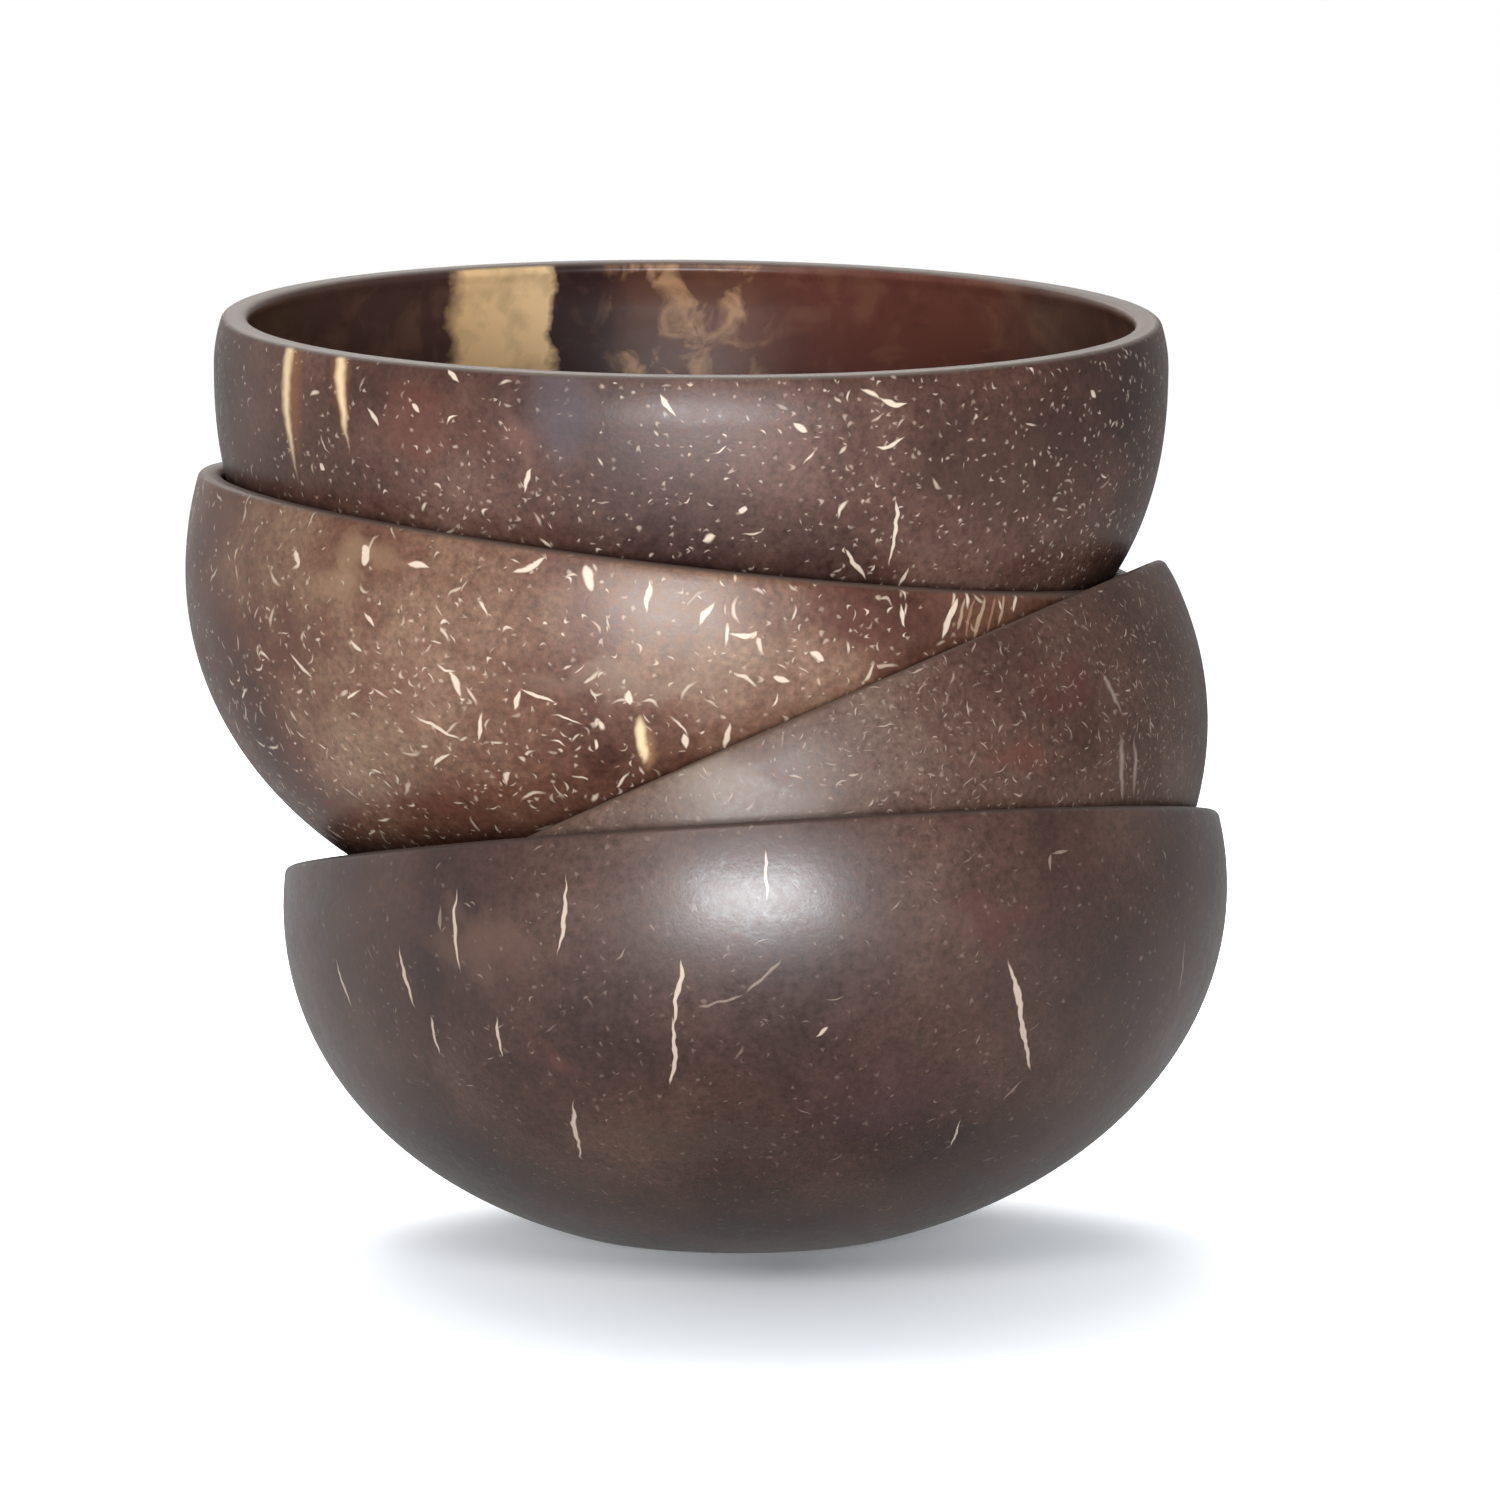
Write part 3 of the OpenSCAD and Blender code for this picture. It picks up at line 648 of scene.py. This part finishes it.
def sanded_shell(body, sizes):
    """Coconut shell, sanded fine and oiled: a dark woody brown in soft patches under a satin sheen, with cut
    fibres as pale flecks, specks and long streaks."""
    material, tree, places, seed = shell_material("Sanded coconut shell", body, sizes)
    ball = places.outputs["Ball"]
    # Soft patches a thumb wide, a finer mottle, and a granular tone near the size of the shell's cells,
    # which are drawn several times as large as they are
    patch = add(tree, NOISE, {"Vector": ball, "W": seed, "Scale": 1 / PATCH_MM, "Detail": 2.0},
                noise_dimensions="4D")
    mottle = add(tree, NOISE, {"Vector": ball, "W": seed, "Scale": 1 / MOTTLE_MM, "Detail": 4.0,
                               "Roughness": 0.65}, noise_dimensions="4D")
    grain = add(tree, NOISE, {"Vector": ball, "W": seed, "Scale": 1 / GRAIN_MM, "Detail": 2.0,
                              "Roughness": 0.7}, noise_dimensions="4D")
    tone = add(tree, MIX, {FACTOR: 0.25, 2: patch, 3: mottle}, data_type="FLOAT")
    low = add(tree, RANGE, {"Value": tone, "From Min": 0.34, "From Max": 0.5})
    high = add(tree, RANGE, {"Value": tone, "From Min": 0.5, "From Max": 0.66})
    base = add(tree, MIX, {FACTOR: low, COLOUR_A: (*sizes.deep, 1), COLOUR_B: (*sizes.warm, 1)},
               data_type="RGBA").outputs[MIXED]
    base = add(tree, MIX, {FACTOR: high, COLOUR_A: base, COLOUR_B: (*sizes.light, 1)},
               data_type="RGBA").outputs[MIXED]
    shade = add(tree, RANGE, {"Value": grain, "From Min": 0.3, "From Max": 0.7, "To Min": 0.68,
                              "To Max": 1.32})
    base = add(tree, MIX, {FACTOR: 1.0, COLOUR_A: base, COLOUR_B: shade}, data_type="RGBA",
               blend_type="MULTIPLY").outputs[MIXED]
    # Patches first, then flecks, shorter flecks and specks, then single streaks and spots
    drift = add(tree, NOISE, {"Vector": ball, "Scale": 1 / DRIFT_MM, "Detail": 3.0})
    drift = add(tree, VECTOR, {0: drift.outputs["Color"], 1: (0.5, 0.5, 0.5)}, operation="SUBTRACT")
    wide_drift = add(tree, VECTOR, {0: drift, "Scale": PATCH_DRIFT_MM}, operation="SCALE")
    wide_drift = add(tree, VECTOR, {0: wide_drift, 1: ball}, operation="ADD").outputs[0]
    # Fibres are never quite straight, so their places wander by a few tenths of a millimetre
    wander = add(tree, NOISE, {"Vector": ball, "Scale": 1 / WANDER_MM, "Detail": 1.0})
    wander = add(tree, VECTOR, {0: wander.outputs["Color"], 1: (0.5, 0.5, 0.5)}, operation="SUBTRACT")
    wander = add(tree, VECTOR, {0: wander, 1: ball}, operation="ADD").outputs[0]
    drift = add(tree, VECTOR, {0: drift, 1: wander}, operation="ADD").outputs[0]

    patches = [(*patch[:-1], *PATCH_SHAPE, patch[-1]) for patch in PATCHES[body]]
    base = put_marks(tree, base, patches, wide_drift)
    pale = None
    for gap, long, wide, held, clear in (
            (sizes.fleck_gap, sizes.fleck_length, sizes.fleck_width, sizes.fleck_share, 1.0),
            (0.62 * sizes.fleck_gap, 0.42 * sizes.fleck_length, 0.75 * sizes.fleck_width,
             sizes.fleck_share, 0.8),
            (SPECK_GAP, SPECK_LENGTH, SPECK_WIDTH, sizes.speck_share, 0.5)):
        flecks = add(tree, "ShaderNodeGroup", {
            "Ball": wander, "Gap": gap / MM, "Length": long / MM, "Width": wide / MM, "Share": held,
            "Patchiness": 0.5 * held}, node_tree=grouped("Short fibres", short_fibres))
        flecks = add(tree, MATH, {0: flecks, 1: clear * sizes.fleck_strength}, operation="MULTIPLY")
        pale = add(tree, MATH, {0: pale, 1: flecks}, operation="MAXIMUM") if pale else flecks
    base = add(tree, MIX, {FACTOR: pale, COLOUR_A: base, COLOUR_B: (*sizes.fleck, 1)},
               data_type="RGBA").outputs[MIXED]
    base = put_marks(tree, base, MARKS[body], drift)
    edge, base = cut_edge(tree, places, sizes, base)
    # Sanding leaves the sheen a little uneven, and flecks lie a hair deeper than the shell round them
    rough = add(tree, MIX, {FACTOR: 0.5, 2: mottle, 3: grain}, data_type="FLOAT")
    rough = add(tree, RANGE, {"Value": rough, "From Min": 0.35, "From Max": 0.65,
                              "To Min": sizes.roughness - 0.1, "To Max": sizes.roughness + 0.1})
    rough = add(tree, MIX, {FACTOR: edge, 2: rough, 3: EDGE_ROUGHNESS}, data_type="FLOAT")
    relief = add(tree, MATH, {0: grain, 1: pale}, operation="SUBTRACT")
    bump = add(tree, "ShaderNodeBump", {"Height": relief, "Distance": 0.05 * MM, "Strength": 0.6})
    surface = add(tree, "ShaderNodeBsdfPrincipled", {
        "Base Color": base, "Roughness": rough, "Normal": bump, "Specular IOR Level": sizes.gloss,
        "Coat Weight": sizes.polish, "Coat Roughness": COAT_ROUGHNESS, "Coat Normal": bump})
    add(tree, "ShaderNodeOutputMaterial", {"Surface": surface})
    return material


# The inside of each bowl: degrees round it from the right and the tone there, down to its floor
INSIDE_TONES = {
    "bottom": ((0, "#48302a"), (70, "#4d3229"), (130, "#3a2824"), (210, "#54362b"), (290, "#452d26")),
    "second": ((0, "#5a4236"), (80, "#4c3229"), (150, "#664635"), (200, "#3f2a24"), (300, "#5d4436")),
    "third": ((0, "#5c3b2f"), (60, "#44302a"), (120, "#6a4636"), (215, "#57392e"), (219, "#c09a6e"),
              (231, "#b08a63"), (234, "#4a3028"), (320, "#5f4031")),
    "top": ((0, "#563e34"), (32, "#5f453a"), (44, "#673c31"), (74, "#67392f"), (86, "#754c3b"),
            (99, "#5f3e31"), (103.5, "#392524"), (111.2, "#352323"), (112, "#efcb99"), (126, "#e6be8a"),
            (127.2, "#49322c"), (150, "#4c352e"), (180, "#553a30"), (270, "#5e3b2f"), (330, "#4c3026"))}
FLOOR_TONE = "#4f362c"
SCRAPE_TONE = "#382320"
SMEAR_TONE = "#c2966f"

# Degrees round each bowl at which smears of pale inner skin are left, and how far to each side
SMEARS = {"bottom": 140.0, "second": 20.0, "third": -100.0, "top": 91.0}
SMEAR_END, SMEAR_FULL = 13.0, 8.0

# The bands fade out between these heights in mm, the first the higher, by up to this wander
BANDS_END_MM, BANDS_GONE_MM, BANDS_WANDER_MM = 6.0, -10.0, 44.0


def scraped_shell(body, sizes):
    """Coconut shell, scraped and oiled inside: smoother than outside and redder, in broad bands where more
    or less of the inner skin was scraped off, with pale smears of it left."""
    material, tree, places, seed = shell_material("Scraped coconut shell", body, sizes)
    ball = places.outputs["Ball"]
    wander = add(tree, NOISE, {"Vector": ball, "W": seed, "Scale": 1 / 5, "Detail": 4.0},
                 noise_dimensions="4D")
    turn = add(tree, RANGE, {"Value": wander, "From Min": 0.3, "From Max": 0.7, "To Min": -1.3,
                             "To Max": 1.3})
    turn = add(tree, MATH, {0: turn, 1: places.outputs["Turn"]}, operation="ADD")
    turn = add(tree, MATH, {0: add(tree, MATH, {0: turn, 1: 360.0, 2: 0.0}, operation="WRAP"), 1: 360.0},
               operation="DIVIDE")
    bands = add(tree, "ShaderNodeValToRGB", {0: turn})
    stops = bands.color_ramp.elements
    stops.remove(stops[1])
    tones = INSIDE_TONES[body]
    for number, (at, tone) in enumerate((*tones, (360, tones[0][1]))):
        stop = stops[0] if number == 0 else stops.new(at / 360)
        stop.position, stop.color = at / 360, (*linear(tone), 1)
    # Darker and paler scrapes that run round the bowl, and smears of pale inner skin
    mottle = add(tree, NOISE, {"Vector": ball, "W": seed + 3, "Scale": 1 / 5, "Detail": 4.0,
                               "Distortion": 0.3}, noise_dimensions="4D")
    dark = add(tree, RANGE, {"Value": mottle, "From Min": 0.55, "From Max": 0.35, "To Max": 0.3})
    base = add(tree, MIX, {FACTOR: dark, COLOUR_A: bands.outputs[0], COLOUR_B: (*linear(SCRAPE_TONE), 1)},
               data_type="RGBA").outputs[MIXED]
    smear = add(tree, NOISE, {"Vector": ball, "W": seed + 5, "Scale": 1 / 7, "Detail": 4.0,
                              "Distortion": 1.2}, noise_dimensions="4D")
    smear = add(tree, RANGE, {"Value": smear, "From Min": 0.5, "From Max": 0.64, "To Max": 0.85})
    back = add(tree, MATH, {0: places.outputs["Turn"], 1: SMEARS[body]}, operation="SUBTRACT")
    back = add(tree, MATH, {0: back, 1: 180.0, 2: -180.0}, operation="WRAP")
    back = add(tree, RANGE, {"Value": add(tree, MATH, {0: back}, operation="ABSOLUTE"), "From Min": SMEAR_END,
                             "From Max": SMEAR_FULL, "To Min": 0.1, "To Max": 1.0})
    smear = add(tree, MATH, {0: smear, 1: back}, operation="MULTIPLY")
    base = add(tree, MIX, {FACTOR: smear, COLOUR_A: base, COLOUR_B: (*linear(SMEAR_TONE), 1)},
               data_type="RGBA").outputs[MIXED]
    # The bands end well above the floor, where the shell is scraped to one tone
    depth = add(tree, MATH, {0: wander, 1: BANDS_WANDER_MM, 2: places.outputs["Height"]},
                operation="MULTIPLY_ADD")
    depth = add(tree, RANGE, {"Value": depth, "From Min": BANDS_END_MM, "From Max": BANDS_GONE_MM},
                interpolation_type="SMOOTHSTEP")
    floor = add(tree, MIX, {FACTOR: dark, COLOUR_A: (*linear(FLOOR_TONE), 1),
                            COLOUR_B: (*linear(SCRAPE_TONE), 1)}, data_type="RGBA").outputs[MIXED]
    base = add(tree, MIX, {FACTOR: depth, COLOUR_A: base, COLOUR_B: floor}, data_type="RGBA").outputs[MIXED]
    edge, base = cut_edge(tree, places, sizes, base)
    rough = add(tree, RANGE, {"Value": mottle, "To Min": 0.28, "To Max": 0.4})
    rough = add(tree, MIX, {FACTOR: edge, 2: rough, 3: EDGE_ROUGHNESS}, data_type="FLOAT")
    bump = add(tree, "ShaderNodeBump", {"Height": mottle, "Distance": 0.15 * MM, "Strength": 0.4})
    surface = add(tree, "ShaderNodeBsdfPrincipled", {
        "Base Color": base, "Roughness": rough, "Normal": bump, "Specular IOR Level": 0.4})
    add(tree, "ShaderNodeOutputMaterial", {"Surface": surface})
    return material


# Middle of the floor's painted shadow, where its glow is weakest, how much faster it ends along each way, and
# how far it reaches
SHADOW_MIDDLE, SHADOW_ENDS, SHADOW_REACH = (0.006, -0.04, 0), (2, 1, 1), 0.25

# A painted gleam on the floor, seen only by shiny surfaces in place of the front softbox's reflection: where
# it starts and is full, its middle, half width and strength
GLEAM_START, GLEAM_FULL, GLEAM_MIDDLE = -0.2, -0.42, -0.05
GLEAM_OUTER, GLEAM_INNER, GLEAM_STRENGTH = 0.26, 0.05, 2.2


def matt_sweep(settings):
    """Matt studio sweep: white where the camera sees it lit and grey only in the shadow, with a glow that
    grows away from the object and so paints the shadow's shape round its foot. A shiny surface sees it as a
    dim grey, palest at the left, with painted shade near the object and a painted gleam in front."""
    material = bpy.data.materials.new("Matt studio sweep")
    tree = cleared_tree(material)
    rays = add(tree, "ShaderNodeLightPath")
    here = add(tree, "ShaderNodeTexCoord").outputs["Object"]
    away = add(tree, VECTOR, {0: here, 1: SHADOW_MIDDLE}, operation="SUBTRACT")
    away = add(tree, VECTOR, {0: away, 1: SHADOW_ENDS}, operation="MULTIPLY")
    away = add(tree, VECTOR, {0: away}, operation="LENGTH").outputs["Value"]
    # The glow is weakest in an oval round the object's foot, which paints the floor's shadow
    painted_shadow_glow = add(tree, RANGE, {"Value": away, "From Min": 0.0, "From Max": SHADOW_REACH})
    # What a shiny surface sees: a dim sweep with painted shade near the object, and a painted gleam that
    # stands in for the front softbox's reflection
    parts = add(tree, "ShaderNodeSeparateXYZ", {0: here})
    side = add(tree, RANGE, {"Value": parts.outputs["X"], "From Min": -0.5, "From Max": 0.5,
                             "To Min": 0.7, "To Max": 0.36})
    # Darker near the object: painted shade on the floor as shiny surfaces see it
    near = add(tree, RANGE, {"Value": away, "From Min": 0.04, "From Max": 0.22, "To Min": 0.45})
    front = add(tree, RANGE, {"Value": parts.outputs["Y"], "From Min": GLEAM_START, "From Max": GLEAM_FULL},
                interpolation_type="SMOOTHSTEP")
    middle = add(tree, MATH, {0: parts.outputs["X"], 1: GLEAM_MIDDLE}, operation="SUBTRACT")
    middle = add(tree, RANGE, {"Value": add(tree, MATH, {0: middle}, operation="ABSOLUTE"),
                               "From Min": GLEAM_OUTER, "From Max": GLEAM_INNER,
                               "To Max": GLEAM_STRENGTH},
                 interpolation_type="SMOOTHSTEP")
    painted_gleam = add(tree, MATH, {0: front, 1: middle}, operation="MULTIPLY")
    side = add(tree, MATH, {0: side, 1: near}, operation="MULTIPLY")
    side = add(tree, MATH, {0: side, 1: painted_gleam}, operation="ADD")
    matt = add(tree, "ShaderNodeBsdfDiffuse", {"Color": (*settings.floor, 1)})
    glow = add(tree, "ShaderNodeEmission", {"Color": (0.94, 0.97, 1, 1), "Strength": painted_shadow_glow})
    dim = add(tree, "ShaderNodeEmission", {"Color": (1, 1, 1, 1), "Strength": side})
    seen = add(tree, "ShaderNodeMixShader", {
        0: rays.outputs["Is Camera Ray"], 1: matt, 2: add(tree, "ShaderNodeAddShader", {0: matt, 1: glow})})
    seen = add(tree, "ShaderNodeMixShader", {0: rays.outputs["Is Glossy Ray"], 1: seen, 2: dim})
    add(tree, "ShaderNodeOutputMaterial", {"Surface": seen})
    return material


# Stage

LAMP_AIM = (0, 0, 0.07)
# Name, place, width and height in metres, power in watts and tint
LAMPS = (
    ("Low softbox", (0.01, -0.72, 0.08), 0.36, 0.18, 6.2, (0.92, 0.96, 1)),
    ("Front softbox", (-0.15, -0.85, 0.95), 0.7, 0.7, 5, (1, 0.98, 0.96)),
    ("High softbox", (-0.12, 0.7, 0.85), 0.8, 0.8, 13, (1, 0.98, 0.96)))


def add_lamp(name, place, width, height, power, tint):
    lamp = bpy.data.lights.new(name, "AREA")
    lamp.shape, lamp.size, lamp.size_y = "RECTANGLE", width, height
    lamp.energy, lamp.color = power, tint
    holder = bpy.data.objects.new(name, lamp)
    holder.location = place
    holder.rotation_euler = (Vector(LAMP_AIM) - Vector(place)).to_track_quat("-Z", "Y").to_euler()
    holder.visible_camera = False
    bpy.context.scene.collection.objects.link(holder)


def add_camera(settings):
    camera = bpy.data.cameras.new("Camera")
    camera.sensor_width = SENSOR_MM
    camera.lens = settings.distance / MM * PIXELS_PER_MM * SENSOR_MM / PICTURE_PIXELS
    holder = bpy.data.objects.new("Camera", camera)
    back = Vector((0, -math.cos(settings.elevation), math.sin(settings.elevation)))
    holder.location = Vector(settings.target) + back * settings.distance
    holder.rotation_euler = (-back).to_track_quat("-Z", "Y").to_euler()
    bpy.context.scene.collection.objects.link(holder)
    bpy.context.scene.camera = holder


def light_world():
    """White where the camera sees it, a grey room that is palest behind and to the left where shiny surfaces
    see it, and a plain even light on everything else."""
    world = bpy.data.worlds.new("Studio")
    bpy.context.scene.world = world
    tree = cleared_tree(world)
    rays = add(tree, "ShaderNodeLightPath")
    way = add(tree, "ShaderNodeSeparateXYZ", {0: add(tree, "ShaderNodeTexCoord").outputs["Generated"]})
    side = add(tree, RANGE, {"Value": way.outputs["X"], "From Min": -0.8, "From Max": 0.8, "To Min": 0.7,
                             "To Max": 0.35})
    back = add(tree, RANGE, {"Value": way.outputs["Y"], "From Min": -0.6, "From Max": 0.6, "To Min": 0.35,
                             "To Max": 1.0})
    room = add(tree, MATH, {0: side, 1: back}, operation="MULTIPLY")
    shown = add(tree, MATH, {0: rays.outputs["Is Camera Ray"], 1: rays.outputs["Is Transmission Ray"]},
                operation="MAXIMUM")
    fill = add(tree, "ShaderNodeBackground", {"Color": (0.82, 0.91, 1, 1), "Strength": 0.2})
    gloss = add(tree, "ShaderNodeBackground", {"Color": (1, 1, 1, 1), "Strength": room})
    white = add(tree, "ShaderNodeBackground", {"Color": (1, 1, 1, 1), "Strength": 1.0})
    light = add(tree, "ShaderNodeMixShader", {0: rays.outputs["Is Glossy Ray"], 1: fill, 2: gloss})
    light = add(tree, "ShaderNodeMixShader", {0: shown, 1: light, 2: white})
    add(tree, "ShaderNodeOutputWorld", {"Surface": light})


class BOWLS_OT_stage(bpy.types.Operator):
    """Add the floor, the lamps, the studio's light and the camera"""
    bl_idname = "bowls.stage"
    bl_label = "Stage"

    def execute(self, context):
        settings = context.scene.bowl_stage
        context.scene.view_settings.view_transform = "Standard"
        half = settings.floor_width / 2
        mesh = bpy.data.meshes.new("studio_floor")
        corners = [(-half, -half, 0), (half, -half, 0), (half, half, 0), (-half, half, 0)]
        mesh.from_pydata(corners, [], [(0, 1, 2, 3)])
        floor = bpy.data.objects.new("studio_floor", mesh)
        mesh.materials.append(matt_sweep(settings))
        context.scene.collection.objects.link(floor)
        for lamp in LAMPS:
            add_lamp(*lamp)
        light_world()
        add_camera(settings)
        return {"FINISHED"}


class BOWLS_OT_bottom(bpy.types.Operator):
    """Add the bottom bowl, whose base is ground level with the table"""
    bl_idname = "bowls.bottom"
    bl_label = "Bottom bowl"

    def execute(self, context):
        make_bowl("bottom", ground_level=True)
        return {"FINISHED"}


class BOWLS_OT_second(bpy.types.Operator):
    """Add the second bowl, which leans into the bottom one"""
    bl_idname = "bowls.second"
    bl_label = "Second bowl"

    def execute(self, context):
        make_bowl("second", ground_level=False)
        return {"FINISHED"}


class BOWLS_OT_third(bpy.types.Operator):
    """Add the third bowl, dense with pale flecks"""
    bl_idname = "bowls.third"
    bl_label = "Third bowl"

    def execute(self, context):
        make_bowl("third", ground_level=False)
        return {"FINISHED"}


class BOWLS_OT_top(bpy.types.Operator):
    """Add the top bowl, whose inside shows"""
    bl_idname = "bowls.top"
    bl_label = "Top bowl"

    def execute(self, context):
        make_bowl("top", ground_level=False)
        return {"FINISHED"}


class BOWLS_PT_panel(bpy.types.Panel):
    """The bowls and their stage, in the order in which they are added"""
    bl_label = "Coconut shell bowls"
    bl_space_type = "VIEW_3D"
    bl_region_type = "UI"
    bl_category = "Bowls"

    def draw(self, context):
        for operator in OPERATORS:
            self.layout.operator(operator.bl_idname)


SETTINGS = {
    "bottom_bowl": BottomBowlSettings, "second_bowl": SecondBowlSettings, "third_bowl": ThirdBowlSettings,
    "top_bowl": TopBowlSettings, "shells": ShellSettings, "bowl_stage": StageSettings}
OPERATORS = (BOWLS_OT_stage, BOWLS_OT_bottom, BOWLS_OT_second, BOWLS_OT_third, BOWLS_OT_top)


def register():
    for item in (*SETTINGS.values(), *OPERATORS, BOWLS_PT_panel):
        bpy.utils.register_class(item)
    for name, settings in SETTINGS.items():
        setattr(bpy.types.Scene, name, PointerProperty(type=settings))


def unregister():
    for name in SETTINGS:
        delattr(bpy.types.Scene, name)
    for item in reversed((*SETTINGS.values(), *OPERATORS, BOWLS_PT_panel)):
        bpy.utils.unregister_class(item)


def main():
    register()
    bpy.ops.bowls.stage()
    bpy.ops.bowls.bottom()
    bpy.ops.bowls.second()
    bpy.ops.bowls.third()
    bpy.ops.bowls.top()


if __name__ == "__main__":
    main()
